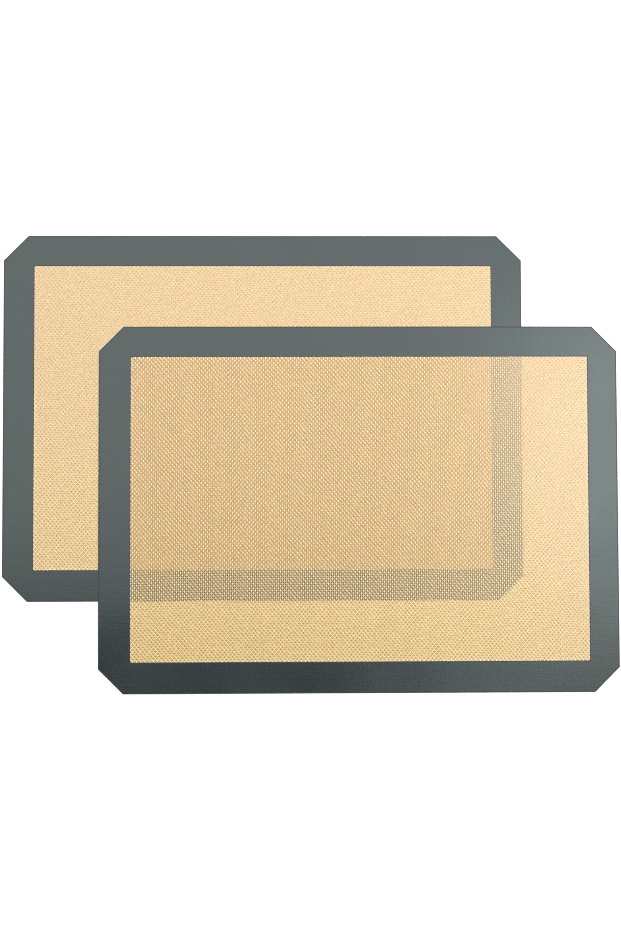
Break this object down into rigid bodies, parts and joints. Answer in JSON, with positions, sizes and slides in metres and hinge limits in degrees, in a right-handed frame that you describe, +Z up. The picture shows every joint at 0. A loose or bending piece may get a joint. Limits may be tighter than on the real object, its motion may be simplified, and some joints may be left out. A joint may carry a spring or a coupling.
{
  "type": "silicone baking mat set",
  "caption": "Pair of thin flexible baking mats, one laid across the other: a translucent tan field of coated glass cloth inside a grey border with cut corners.",
  "frame": {"origin": "middle of the set's outline, on the surface that the lower mat lies on", "axes": "+X along the mats' length, to the right in the picture; +Y away from the user, up in the picture; +Z up out of the baking face"},
  "size_m": [0.4962, 0.3694, 0.0015],
  "materials": {
    "border_silicone": "smooth satin grey silicone",
    "coat_silicone": "translucent amber silicone",
    "glass_cloth": "plain-woven glass yarn",
    "seal_silicone": "satin dark grey silicone bead"
  },
  "bodies": {
    "lower_mat": {"lower_mat_underside_border": "border_silicone", "lower_mat_underside_coat": "coat_silicone", "lower_mat_glass_cloth": "glass_cloth", "lower_mat_face_coat": "coat_silicone", "lower_mat_face_border": "border_silicone", "lower_mat_edge_seal": "seal_silicone"},
    "upper_mat": {"upper_mat_underside_border": "border_silicone", "upper_mat_underside_coat": "coat_silicone", "upper_mat_glass_cloth": "glass_cloth", "upper_mat_face_coat": "coat_silicone", "upper_mat_face_border": "border_silicone", "upper_mat_edge_seal": "seal_silicone"}
  },
  "joints": [
    {"name": "upper_mat_lift", "type": "slide", "parent": "lower_mat", "child": "upper_mat", "axis": [0, 0, 1], "range_m": [0, 0.1]}
  ]
}
